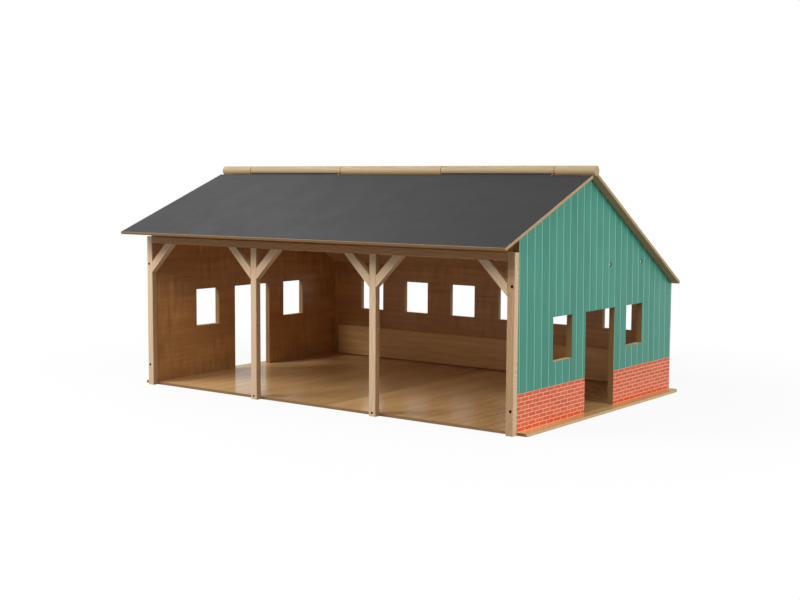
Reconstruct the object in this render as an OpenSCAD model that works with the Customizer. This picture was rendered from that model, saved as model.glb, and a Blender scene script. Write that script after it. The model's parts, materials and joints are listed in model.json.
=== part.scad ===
// Wooden toy farm shed. The front is open, with three bays between slim posts.
// Each gable wall has a doorway and two windows, and the rear wall has six
// windows. The roof is two panels that meet in a wooden knuckle hinge along the
// ridge: the front panel swings up and over, and the rear panel is fixed.
//
// X runs along the shed, the open front faces -Y and Z is up. The origin is the
// centre of the floor plate's underside, where the shed stands on the ground.

/* [Floor plate] */
// Depth of the floor plate, and of the gable walls that stand on it
house_d = 500; // [400:1:620]
// Thickness of the floor plate
floor_t = 4.5; // [4:0.1:8]
// How far the plate stands out beyond each gable wall
floor_side = 17.5; // [6:0.5:40]
// Radius of the plate's two front corners
front_corner_r = 2; // [1:0.5:10]
// Radius of the plate's two rear corners
rear_corner_r = 7; // [1:0.5:14]

/* [Walls] */
// Length over both gable walls
house_l = 748; // [600:1:920]
// Thickness of a gable wall
gable_t = 9.5; // [7:0.1:14]
// Height of a gable wall at its front edge, above the ground
front_wall_h = 287; // [272:1:350]
// Height of the rear wall's outer top edge, above the ground
rear_wall_h = 187; // [170:1:240]
// Thickness of the rear wall
rear_t = 9.5; // [7:0.1:14]
// Height of the board along the foot of the rear wall, inside
foot_board_h = 58; // [30:1:83]
// Thickness of that board
foot_board_t = 5; // [3:0.1:10]
// Clear height between the floor and that board
foot_board_lift = 2; // [0:0.1:6]
// How far that board's ends stop short of the gable walls
foot_board_end = 11; // [0:0.5:30]

/* [Doorways and windows] */
// Width of the doorway in each gable wall
door_w = 94.5; // [60:0.5:114]
// Distance from a gable wall's front edge to its doorway
door_from_front = 197; // [180:1:230]
// Height of the tops of the doorways and gable windows, above the ground
opening_top = 160.5; // [130:0.5:180]
// Width of a gable window
gable_window_w = 57; // [40:0.5:70]
// Height of a gable window
gable_window_h = 66; // [40:0.5:80]
// Distance from a gable wall's front edge to its first window
window_1_from_front = 98; // [60:1:105]
// Distance from a gable wall's front edge to its second window
window_2_from_front = 332; // [322:1:338]
// Number of windows in the rear wall
rear_windows = 6; // [3:1:6]
// Width of a rear window
rear_window_w = 56; // [40:0.5:70]
// Height of a rear window
rear_window_h = 60; // [40:0.5:72]
// Height of the rear windows' sills, above the ground
rear_window_sill = 100; // [85:0.5:104]
// Distance from a gable wall to the nearest rear window, before the row is shifted
rear_window_margin = 64; // [30:1:90]
// How far the row of rear windows is shifted to the right
rear_window_shift = 4; // [-10:0.5:10]

/* [Front frame] */
// Width of a post
post_w = 12.5; // [9:0.1:16]
// Depth of a post, a brace and the lintel
post_d = 10.5; // [8:0.1:16]
// Number of bays between the posts
bays = 3; // [2:1:4]
// Height of the bays, from the ground to the lintel
bay_h = 248; // [200:1:255]
// Height of the lintel
lintel_h = 11.5; // [9:0.1:15]
// Length of a brace's outer edge along the post and along the lintel
brace_leg = 50.5; // [30:0.5:60]
// Width of a brace, square to its run
brace_w = 12.8; // [8:0.1:16]
// Chamfer on the long edges of the sticks
edge_ease = 0.6; // [0.2:0.1:1.2]

/* [Tie beams] */
// Width and height of the two beams that tie the gable walls together
tie_w = 5; // [4.5:0.1:8]
// Height of the beams' centre, above the ground
tie_z = 229; // [215:1:232]
// Distance from the rear of the shed to the front beam's centre
front_tie_from_rear = 226; // [180:0.5:240]
// Distance from the rear of the shed to the rear beam's centre
rear_tie_from_rear = 117.5; // [110:0.5:150]

/* [Roof] */
// Height of the hinge axis along the ridge, above the ground
ridge_z = 374.5; // [335:0.5:450]
// Distance from the gable walls' front edges back to the hinge axis
ridge_from_front = 198; // [150:1:240]
// Thickness of the roof panels
roof_t = 4.5; // [3:0.1:6]
// How far the roof stands out beyond each gable wall
roof_side = 13.5; // [6:0.5:30]
// How far the front roof panel stands out in front of the posts
front_overhang = 45.5; // [20:0.5:70]
// How far the rear roof panel stands out behind the rear wall
rear_overhang = 2; // [1:0.5:20]

/* [Ridge hinge] */
// Diameter of the round knuckles
knuckle_d = 16; // [15:0.5:22]
// Length of the knuckle at each end of the ridge
end_knuckle_l = 70; // [55:1:100]
// Gap between the ends of two knuckles
knuckle_gap = 1; // [0.5:0.1:2]
// Diameter of the steel hinge pins
pin_d = 3; // [2:0.1:3.6]
// Length of a hinge pin
pin_l = 40; // [24:1:48]
// How far the roof panels' upper faces lie below the hinge axis
panel_drop = 1.5; // [0:0.1:2.5]
// Distance from the hinge axis to the end of a panel's tongue
tongue_from_axis = 3.5; // [3:0.1:4.5]
// Clear width between the rear panel's knuckles and the front panel, cut away round them
front_swing_clear = 6; // [2:0.1:10]
// Clear width between the front panel's knuckles and the rear panel, cut away round them
rear_swing_clear = 2.5; // [1.5:0.1:10]

/* [Fasteners] */
// Diameter of the wood screws' shanks
screw_d = 2.4; // [2:0.1:3]
// Length of the screws that hold the corner posts
post_screw_l = 32; // [26:1:45]
// Height of the corner posts' lower screws, above the ground
low_screw_z = 35.5; // [20:0.5:60]
// Height of the corner posts' upper screws, above the ground
high_screw_z = 212; // [185:0.5:225]
// Diameter of the screws through the gable walls into the tie beams
tie_screw_d = 2.2; // [1.8:0.1:2.6]
// Diameter of the tie beam screws' heads
tie_screw_head_d = 6.8; // [5.5:0.1:9]
// Diameter of the wooden dowels between the walls
dowel_d = 5; // [4:0.1:5.5]

/* [Hidden] */

// fits
fit_clear = 0.05;        // round a pin, screw or dowel in its hole
seat_clear = 0.25;       // between the gable walls and the front panel that rests on them
bed_clear = 0.05;        // between the walls and the rear panel that is screwed down on them
tongue_side_clear = 1.5; // from a tongue's side to the end of its knuckle
hole_end_clear = 0.5;    // beyond the end of a pin, screw or dowel
past = 1;                // how far a cut runs past the face that it opens
round_fn = 48;

// places along Y
front_y = -house_d / 2;
rear_y = house_d / 2;
post_y = front_y - post_d;
ridge_y = front_y + ridge_from_front;

// the roof's slopes: each panel's underside passes through the top edge of its
// wall, and below the hinge axis at the distance that the panel's seat gives
panel_seat = panel_drop + roof_t;
function wall_to_axis_slope(run, rise) = atan2(rise, run) - asin(panel_seat / norm([run, rise]));
front_slope = wall_to_axis_slope(ridge_from_front, ridge_z - front_wall_h);
rear_slope = wall_to_axis_slope(house_d - ridge_from_front, ridge_z - rear_wall_h);
front_run = (ridge_from_front + post_d + front_overhang + panel_seat * sin(front_slope))
  / cos(front_slope);
rear_run = (house_d - ridge_from_front + rear_overhang + panel_seat * sin(rear_slope))
  / cos(rear_slope);

// the ridge
roof_l = house_l + 2 * roof_side;
knuckle_r = knuckle_d / 2;
mid_knuckle_pitch = (roof_l - 2 * end_knuckle_l) / 3;
joint_x = [for (i = [0:3]) -roof_l / 2 + end_knuckle_l + i * mid_knuckle_pitch];
rear_knuckles = [1, 3, 5];
front_knuckles = [2, 4];
function knuckle_x0(k) = k == 1 ? -roof_l / 2 : joint_x[k - 2] + knuckle_gap / 2;
function knuckle_x1(k) = k == 5 ? roof_l / 2 : joint_x[k - 1] - knuckle_gap / 2;

// the front frame
inner_l = house_l - 2 * gable_t;
post_pitch = (house_l - post_w) / bays;
function post_x(i) = -house_l / 2 + post_w / 2 + i * post_pitch;
lintel_top = bay_h + lintel_h;

// the rear windows
rear_window_pitch = (inner_l - 2 * rear_window_margin - rear_window_w) / (rear_windows - 1);

// fasteners
screw_head_d = 4.4;
screw_head_h = 1.4;
post_screw_sink = 6;       // the corner post screws lie this deep in their holes
tie_screw_sink = 1.8;      // and the tie beam screws this deep
nail_d = 1.4;
nail_head_d = 3.6;
nail_sink = 3;
nail_l = 18;
nail_z = floor_t + 0.5;    // a foot nail starts above the floor plate's top
nail_slope = 12;           // and slopes down into the plate's front edge
floor_screw_l = 24;
floor_screw_recess = 0.3;
roof_screw_l = 20;
roof_screws_a_side = 3;
first_roof_screw = 50;     // from the hinge axis, down the slope
last_roof_screw = 28;      // from the lower edge, up the slope
roof_screw_pitch = (rear_run - first_roof_screw - last_roof_screw) / (roof_screws_a_side - 1);
tie_screw_l = 32;
tie_head_h = 1.8;
tie_head_dome = 0.7;
dowel_l = 24;
dowel_in_gable = 6.5;
dowel_heights = [40, 110, 165];
frame_dowel_d = 4;
frame_dowel_l = 18;
frame_dowel_in = 6;        // how far a frame dowel enters a corner post or the lintel
door_screw_margin = 20;
end_screw_margin = 40;
rear_screw_spacing = 250;

// colours
beech = "#d9bd95";
beech_shade = "#cfae82";
plywood = "#b98d57";
brown_veneer = "#7a5535";
green_boards = "#55917f";
slate_grey = "#515154";
ridge_wood = "#dcc394";
steel = "#b9bcc0";
dowel_wood = "#c9a877";

// ---- shared shapes ----

// a stick's section, x wide and y deep, with its long edges eased
module eased_section(x, y) {
  e = edge_ease;
  polygon([
    [e, 0], [x - e, 0], [x, e], [x, y - e],
    [x - e, y], [e, y], [0, y - e], [0, e]
  ]);
}

// a stick that stands on z = 0 and is centred on x, its front face at y = 0
module upright_stick(w, d, l) {
  translate([-w / 2, 0, 0]) linear_extrude(l) eased_section(w, d);
}

// a stick along X from x0 to x1, its front face at y = 0 and its underside at z = 0
module level_stick(x0, x1, d, h) {
  translate([x0, 0, 0]) rotate([90, 0, 90]) linear_extrude(x1 - x0) eased_section(d, h);
}

// a screw or nail that points along +Z, its head's rim at z = 0
module fastener(d, l, head_d, head_h, dome = 0) {
  rotate_extrude($fn = round_fn) polygon([
    [0, -dome], [head_d * 0.28, -dome * 0.7], [head_d / 2, 0],
    [d / 2, head_h], [d / 2, l - d], [0, l]
  ]);
}

// the hole for that fastener, opened towards -Z by the sink
module fastener_hole(d, l, head_d, head_h, sink) {
  c = fit_clear;
  rotate_extrude($fn = round_fn) polygon([
    [0, -sink], [head_d / 2 + c, -sink], [head_d / 2 + c, 0],
    [d / 2 + c, head_h], [d / 2 + c, l - d + hole_end_clear], [0, l + hole_end_clear]
  ]);
}

// a straight pin or dowel along +Z with eased ends
module peg(d, l) {
  e = d * 0.12;
  rotate_extrude($fn = round_fn) polygon([
    [0, 0], [d / 2 - e, 0], [d / 2, e], [d / 2, l - e], [d / 2 - e, l], [0, l]
  ]);
}

// the plain hole for a peg whose end lies at z = 0
module peg_hole(d, l) {
  translate([0, 0, -hole_end_clear])
    cylinder(h = l + 2 * hole_end_clear, r = d / 2 + fit_clear, $fn = round_fn);
}

// turns +Z to -X on the right side, and to +X on the left side
module into_gable(side) {
  rotate([0, -90 * side, 0]) children();
}

// puts its children at every post foot that stands between the corners
module at_middle_posts() {
  for (i = [1:bays - 1]) translate([post_x(i), 0, 0]) children();
}

// ---- fastener places, shared by each fastener and its holes ----

module at_corner_post_screws(side) {
  for (z = [low_screw_z, high_screw_z])
    translate([side * (house_l / 2 - gable_t / 2), post_y + post_screw_sink, z])
      rotate([-90, 0, 0]) children();
}

module at_foot_nails() {
  at_middle_posts()
    translate([0, post_y + nail_sink, nail_z]) rotate([-90 - nail_slope, 0, 0]) children();
}

module at_tie_screws(side) {
  for (back = [front_tie_from_rear, rear_tie_from_rear])
    translate([side * (house_l / 2 - tie_screw_sink), rear_y - back, tie_z])
      into_gable(side) children();
}

module at_gable_floor_screws(side) {
  door_y = front_y + door_from_front;
  for (y = [
      front_y + end_screw_margin, door_y - door_screw_margin,
      door_y + door_w + door_screw_margin, rear_y - end_screw_margin
    ])
    translate([side * (house_l / 2 - gable_t / 2), y, floor_screw_recess]) children();
}

module at_rear_floor_screws() {
  for (i = [-1:1])
    translate([i * rear_screw_spacing, rear_y - rear_t / 2, floor_screw_recess]) children();
}

module at_rear_roof_screws() {
  x = house_l / 2 - gable_t / 2;
  for (side = [-1, 1], i = [0:roof_screws_a_side - 1])
    on_rear_slope()
      translate([side * x, first_roof_screw + i * roof_screw_pitch, -panel_drop])
        mirror([0, 0, 1]) children();
}

module at_wall_dowels(side) {
  for (z = dowel_heights)
    translate([side * (inner_l / 2 + dowel_in_gable), rear_y - rear_t / 2, z])
      into_gable(side) children();
}

module at_lintel_dowels(side) {
  x = house_l / 2 - post_w + frame_dowel_in;
  translate([side * x, post_y + post_d / 2, bay_h + lintel_h / 2]) into_gable(side) children();
}

module at_post_dowels() {
  at_middle_posts()
    translate([0, post_y + post_d / 2, bay_h + frame_dowel_in - frame_dowel_l]) children();
}

// ---- floor and walls ----

module floor_outline() {
  x = house_l / 2 + floor_side;
  rf = front_corner_r;
  rr = rear_corner_r;
  polygon([
    [rf - x, front_y], [x - rf, front_y], [x, front_y + rf], [x, rear_y - rr],
    [x - rr, rear_y], [rr - x, rear_y], [-x, rear_y - rr], [-x, front_y + rf]
  ]);
  for (side = [-1, 1]) {
    translate([side * (x - rf), front_y + rf]) circle(r = rf, $fn = round_fn);
    translate([side * (x - rr), rear_y - rr]) circle(r = rr, $fn = round_fn);
  }
}

module floor_plate() {
  color(plywood) difference() {
    linear_extrude(floor_t) floor_outline();
    for (side = [-1, 1]) at_gable_floor_screws(side) floor_screw_hole();
    at_rear_floor_screws() floor_screw_hole();
    at_foot_nails() nail_hole();
  }
}

// the gable wall from the side: its top edges follow the undersides of the roof
// panels, and its peak is cut level, clear of the ridge knuckles
module gable_outline() {
  peak_z = ridge_z - knuckle_r - past;
  front_h = front_wall_h - seat_clear / cos(front_slope);
  rear_h = rear_wall_h - bed_clear / cos(rear_slope);
  difference() {
    polygon([
      [front_y, floor_t], [rear_y, floor_t], [rear_y, rear_h],
      [rear_y - (peak_z - rear_h) / tan(rear_slope), peak_z],
      [front_y + (peak_z - front_h) / tan(front_slope), peak_z],
      [front_y, front_h]
    ]);
    translate([front_y + door_from_front, floor_t - past])
      square([door_w, opening_top - floor_t + past]);
    for (from_front = [window_1_from_front, window_2_from_front])
      translate([front_y + from_front, opening_top - gable_window_h])
        square([gable_window_w, gable_window_h]);
  }
}

module gable_wall(side) {
  x0 = side > 0 ? house_l / 2 - gable_t : -house_l / 2;
  color(green_boards) difference() {
    translate([x0, 0, 0]) rotate([90, 0, 90]) linear_extrude(gable_t) gable_outline();
    at_corner_post_screws(side) post_screw_hole();
    at_tie_screws(side) tie_screw_hole();
    at_gable_floor_screws(side) floor_screw_hole();
    at_rear_roof_screws() roof_screw_hole();
    at_wall_dowels(side) peg_hole(dowel_d, dowel_l);
  }
}

module left_gable_wall() { gable_wall(-1); }
module right_gable_wall() { gable_wall(1); }

module rear_wall() {
  h = rear_wall_h - bed_clear / cos(rear_slope);
  color(brown_veneer) difference() {
    translate([-inner_l / 2, 0, 0]) rotate([90, 0, 90]) linear_extrude(inner_l) polygon([
      [rear_y - rear_t, floor_t], [rear_y, floor_t], [rear_y, h],
      [rear_y - rear_t, h + rear_t * tan(rear_slope)]
    ]);
    for (i = [0:rear_windows - 1])
      translate([
        -inner_l / 2 + rear_window_margin + rear_window_shift + i * rear_window_pitch,
        rear_y - rear_t - past, rear_window_sill
      ])
        cube([rear_window_w, rear_t + 2 * past, rear_window_h]);
    for (side = [-1, 1]) at_wall_dowels(side) peg_hole(dowel_d, dowel_l);
    at_rear_floor_screws() floor_screw_hole();
  }
}

// glued to the rear wall a little above the floor, its front face chamfered along
// the top and at both ends
module rear_foot_board() {
  z0 = floor_t + foot_board_lift;
  chamfer = foot_board_t / 2.5;
  half_l = inner_l / 2 - foot_board_end;
  color(plywood) translate([0, rear_y - rear_t, z0]) rotate([90, 0, 0]) intersection() {
    translate([-half_l, 0, 0]) rotate([90, 0, 90]) linear_extrude(2 * half_l) polygon([
      [0, 0], [foot_board_h, 0], [foot_board_h, foot_board_t - chamfer],
      [foot_board_h - chamfer, foot_board_t], [0, foot_board_t]
    ]);
    translate([0, foot_board_h, 0]) rotate([90, 0, 0]) linear_extrude(foot_board_h) polygon([
      [-half_l, 0], [half_l, 0], [half_l, foot_board_t - chamfer],
      [half_l - chamfer, foot_board_t], [chamfer - half_l, foot_board_t],
      [-half_l, foot_board_t - chamfer]
    ]);
  }
}

// ---- front frame ----

module corner_post(side) {
  color(beech) difference() {
    translate([side * (house_l - post_w) / 2, post_y, 0]) upright_stick(post_w, post_d, lintel_top);
    at_corner_post_screws(side) post_screw_hole();
    at_lintel_dowels(side) peg_hole(frame_dowel_d, frame_dowel_l);
  }
}

module left_corner_post() { corner_post(-1); }
module right_corner_post() { corner_post(1); }

module middle_post(i) {
  color(beech) difference() {
    translate([post_x(i), post_y, 0]) upright_stick(post_w, post_d, bay_h);
    at_foot_nails() nail_hole();
    at_post_dowels() peg_hole(frame_dowel_d, frame_dowel_l);
  }
}

module left_middle_post() { middle_post(1); }
module right_middle_post() { middle_post(2); }

// butts between the corner posts and lies on the middle posts
module front_lintel() {
  x = house_l / 2 - post_w;
  color(beech_shade) difference() {
    translate([0, post_y, bay_h]) level_stick(-x, x, post_d, lintel_h);
    for (side = [-1, 1]) at_lintel_dowels(side) peg_hole(frame_dowel_d, frame_dowel_l);
    at_post_dowels() peg_hole(frame_dowel_d, frame_dowel_l);
  }
}

// a knee brace in the corner under the lintel beside post i: its ends are mitred
// to the post and the lintel, and dir is the side of the post that it leaves
module brace(i, dir) {
  inner_leg = brace_leg - brace_w * sqrt(2);
  color(beech) translate([post_x(i) + dir * post_w / 2, post_y + post_d, bay_h])
    scale([dir, 1, 1]) rotate([90, 0, 0]) linear_extrude(post_d)
      polygon([[0, -inner_leg], [0, -brace_leg], [brace_leg, 0], [inner_leg, 0]]);
}

module left_corner_brace() { brace(0, 1); }
module left_post_left_brace() { brace(1, -1); }
module left_post_right_brace() { brace(1, 1); }
module right_post_left_brace() { brace(2, -1); }
module right_post_right_brace() { brace(2, 1); }
module right_corner_brace() { brace(bays, -1); }

module tie_beam(from_rear) {
  color(beech_shade) difference() {
    translate([0, rear_y - from_rear - tie_w / 2, tie_z - tie_w / 2])
      level_stick(-inner_l / 2, inner_l / 2, tie_w, tie_w);
    for (side = [-1, 1]) at_tie_screws(side) tie_screw_hole();
  }
}

module front_tie_beam() { tie_beam(front_tie_from_rear); }
module rear_tie_beam() { tie_beam(rear_tie_from_rear); }

// ---- roof and ridge hinge ----

// In both slope frames the hinge axis is X, +Y runs down the slope and +Z is the
// way that the panel's upper face looks.
module on_rear_slope() {
  translate([0, ridge_y, ridge_z]) rotate([-rear_slope, 0, 0]) children();
}

module on_front_slope() {
  translate([0, ridge_y, ridge_z]) rotate([front_slope, 0, 0]) mirror([0, 1, 0]) children();
}

// a roof panel in its slope frame: the upper edge has a tongue for each knuckle
// that it carries, and is cut back round the other panel's knuckles
module roof_panel(run, knuckles, swing_clear) {
  notch = knuckle_r + swing_clear;
  translate([0, 0, -panel_seat]) linear_extrude(roof_t) {
    translate([-roof_l / 2, notch]) square([roof_l, run - notch]);
    for (k = knuckles) {
      x0 = k == 1 ? knuckle_x0(k) : knuckle_x0(k) + tongue_side_clear;
      x1 = k == 5 ? knuckle_x1(k) : knuckle_x1(k) - tongue_side_clear;
      translate([x0, tongue_from_axis]) square([x1 - x0, notch - tongue_from_axis + past]);
    }
  }
}

module front_roof_panel() {
  color(slate_grey) on_front_slope() roof_panel(front_run, front_knuckles, front_swing_clear);
}

module rear_roof_panel() {
  color(slate_grey) difference() {
    on_rear_slope() roof_panel(rear_run, rear_knuckles, rear_swing_clear);
    at_rear_roof_screws() roof_screw_hole();
  }
}

// a round knuckle in its slope frame, with the rebate that takes the tongue's end
// and a pin hole in each end that faces another knuckle
module knuckle(k) {
  x0 = knuckle_x0(k);
  x1 = knuckle_x1(k);
  pin_depth = pin_l / 2 - knuckle_gap / 2 + hole_end_clear;
  pin_hole_r = pin_d / 2 + fit_clear;
  color(ridge_wood) difference() {
    translate([x0, 0, 0]) rotate([0, 90, 0]) cylinder(h = x1 - x0, r = knuckle_r, $fn = 2 * round_fn);
    translate([x0 - past, tongue_from_axis, -panel_drop - knuckle_d])
      cube([x1 - x0 + 2 * past, knuckle_d, knuckle_d]);
    if (k > 1)
      translate([x0 - past, 0, 0]) rotate([0, 90, 0])
        cylinder(h = pin_depth + past, r = pin_hole_r, $fn = round_fn);
    if (k < 5)
      translate([x1 - pin_depth, 0, 0]) rotate([0, 90, 0])
        cylinder(h = pin_depth + past, r = pin_hole_r, $fn = round_fn);
  }
}

module ridge_knuckle_1() { on_rear_slope() knuckle(1); }
module ridge_knuckle_2() { on_front_slope() knuckle(2); }
module ridge_knuckle_3() { on_rear_slope() knuckle(3); }
module ridge_knuckle_4() { on_front_slope() knuckle(4); }
module ridge_knuckle_5() { on_rear_slope() knuckle(5); }

module hinge_pins() {
  color(steel) for (x = joint_x)
    translate([x - pin_l / 2, ridge_y, ridge_z]) rotate([0, 90, 0]) peg(pin_d, pin_l);
}

// ---- screws, nails and dowels ----

module wood_screw(l) {
  fastener(screw_d, l, screw_head_d, screw_head_h);
}

module wood_screw_hole(l, sink) {
  fastener_hole(screw_d, l, screw_head_d, screw_head_h, sink + past);
}

module post_screw_hole() { wood_screw_hole(post_screw_l, post_screw_sink); }
module floor_screw_hole() { wood_screw_hole(floor_screw_l, floor_screw_recess); }
module roof_screw_hole() { wood_screw_hole(roof_screw_l, 0); }
module nail_hole() { fastener_hole(nail_d, nail_l, nail_head_d, nail_d / 2, nail_sink + past); }

module tie_screw_hole() {
  fastener_hole(tie_screw_d, tie_screw_l, tie_screw_head_d, tie_head_h, tie_screw_sink + past);
}

module corner_post_screws() {
  color(steel) for (side = [-1, 1]) at_corner_post_screws(side) wood_screw(post_screw_l);
}

module post_foot_nails() {
  color(steel) at_foot_nails() fastener(nail_d, nail_l, nail_head_d, nail_d / 2);
}

module tie_beam_screws() {
  color(steel) for (side = [-1, 1]) at_tie_screws(side)
    fastener(tie_screw_d, tie_screw_l, tie_screw_head_d, tie_head_h, tie_head_dome);
}

module floor_screws() {
  color(steel) {
    for (side = [-1, 1]) at_gable_floor_screws(side) wood_screw(floor_screw_l);
    at_rear_floor_screws() wood_screw(floor_screw_l);
  }
}

module rear_roof_screws() {
  color(steel) at_rear_roof_screws() wood_screw(roof_screw_l);
}

module rear_wall_dowels() {
  color(dowel_wood) for (side = [-1, 1]) at_wall_dowels(side) peg(dowel_d, dowel_l);
}

module frame_dowels() {
  color(dowel_wood) {
    for (side = [-1, 1]) at_lintel_dowels(side) peg(frame_dowel_d, frame_dowel_l);
    at_post_dowels() peg(frame_dowel_d, frame_dowel_l);
  }
}

floor_plate();
left_gable_wall();
right_gable_wall();
rear_wall();
rear_foot_board();
left_corner_post();
left_middle_post();
right_middle_post();
right_corner_post();
front_lintel();
left_corner_brace();
left_post_left_brace();
left_post_right_brace();
right_post_left_brace();
right_post_right_brace();
right_corner_brace();
front_tie_beam();
rear_tie_beam();
front_roof_panel();
rear_roof_panel();
ridge_knuckle_1();
ridge_knuckle_2();
ridge_knuckle_3();
ridge_knuckle_4();
ridge_knuckle_5();
hinge_pins();
corner_post_screws();
post_foot_nails();
tie_beam_screws();
floor_screws();
rear_roof_screws();
rear_wall_dowels();
frame_dowels();
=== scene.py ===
import json
import math

import bmesh
import bpy
import numpy as np
from bpy.props import FloatProperty, FloatVectorProperty, IntProperty, PointerProperty
from bpy.types import NodeSocket, Operator, Panel, PropertyGroup
from mathutils import Color, Matrix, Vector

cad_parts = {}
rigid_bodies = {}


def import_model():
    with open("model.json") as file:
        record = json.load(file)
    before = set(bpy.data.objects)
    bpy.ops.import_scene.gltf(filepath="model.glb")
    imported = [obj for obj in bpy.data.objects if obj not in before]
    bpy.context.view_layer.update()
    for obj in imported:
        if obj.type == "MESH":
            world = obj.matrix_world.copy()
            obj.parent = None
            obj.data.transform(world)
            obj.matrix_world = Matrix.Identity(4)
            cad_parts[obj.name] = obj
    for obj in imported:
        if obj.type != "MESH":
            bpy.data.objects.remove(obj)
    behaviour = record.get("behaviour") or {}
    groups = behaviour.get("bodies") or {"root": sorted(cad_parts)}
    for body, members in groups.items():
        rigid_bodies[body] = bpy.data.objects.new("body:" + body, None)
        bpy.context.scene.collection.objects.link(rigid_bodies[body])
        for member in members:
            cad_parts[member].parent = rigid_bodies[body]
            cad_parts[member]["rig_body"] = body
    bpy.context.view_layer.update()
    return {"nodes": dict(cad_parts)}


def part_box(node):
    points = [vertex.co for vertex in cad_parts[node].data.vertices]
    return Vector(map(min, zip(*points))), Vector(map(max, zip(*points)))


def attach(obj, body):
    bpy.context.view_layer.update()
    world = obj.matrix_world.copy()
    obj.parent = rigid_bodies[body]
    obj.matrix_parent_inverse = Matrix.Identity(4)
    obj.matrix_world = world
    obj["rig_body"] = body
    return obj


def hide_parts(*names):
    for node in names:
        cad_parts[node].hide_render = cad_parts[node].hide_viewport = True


bl_info = {
    "name": "Toy Farm Shed",
    "version": (1, 0, 0),
    "blender": (4, 5, 0),
    "location": "3D View > Sidebar > Farm Shed",
    "description": "Gives the packed frame of a wooden toy farm shed its finished surfaces",
    "category": "Object",
}

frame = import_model()

MM = 0.001


# ---- sizes and colours ----


def length(name, text, metres):
    """A length in metres that a user may change."""
    return FloatProperty(name=name, description=text, default=metres, min=0.0, precision=5,
                         subtype="DISTANCE", unit="LENGTH")


def share(name, text, value):
    """A number from 0 to 1 that a user may change."""
    return FloatProperty(name=name, description=text, default=value, min=0.0, max=1.0, subtype="FACTOR")


def colour(name, text, rgb):
    """A linear colour that a user may change."""
    return FloatVectorProperty(name=name, description=text, default=rgb, size=3, min=0.0, max=1.0,
                               subtype="COLOR")


def power(name, text, watts):
    """A lamp's power that a user may change."""
    return FloatProperty(name=name, description=text, default=watts, min=0.0, unit="POWER")


def camera_turn(name, text, degrees):
    """One of the camera's turns, which a user may change."""
    return FloatProperty(name=name, description=text, default=math.radians(degrees), subtype="ANGLE",
                         unit="ROTATION")


class ShedSizes(PropertyGroup):
    """Sizes of the finish: what lies on the surfaces and on the small hardware."""

    board_easing: length("Board easing", "Rounding of the sawn boards' edges", 0.35 * MM)
    stick_easing: length("Stick easing", "Rounding of the posts', braces' and beams' edges", 0.3 * MM)
    knuckle_easing: length("Knuckle easing", "Rounding of the ridge knuckles' ends", 0.7 * MM)
    plank_pitch: length("Plank pitch", "Distance between two painted plank lines", 20.55 * MM)
    plank_start: FloatProperty(name="Plank start", default=-223.4 * MM, subtype="DISTANCE",
                               unit="LENGTH", description="Place of one painted line at ground level")
    plank_lean: FloatProperty(name="Plank lean", default=0.0168,
                              description="How far the lines lean forwards for each length of rise")
    plank_line: length("Plank line", "Width of the light line between two planks", 2.0 * MM)
    brick_top: length("Brick top", "Height of the painted brick foot above the ground", 58.8 * MM)
    brick_courses: IntProperty(name="Courses", description="Number of brick courses", default=9, min=1)
    brick_length: length("Brick length", "Distance between two upright brick joints", 20.56 * MM)
    brick_joint: length("Brick joint", "Width of the painted mortar joints", 1.6 * MM)
    thread_pitch: length("Thread pitch", "Pitch of the wood screws' threads", 1.1 * MM)
    thread_depth: length("Thread depth", "Depth of the wood screws' threads", 0.38 * MM)


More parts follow.
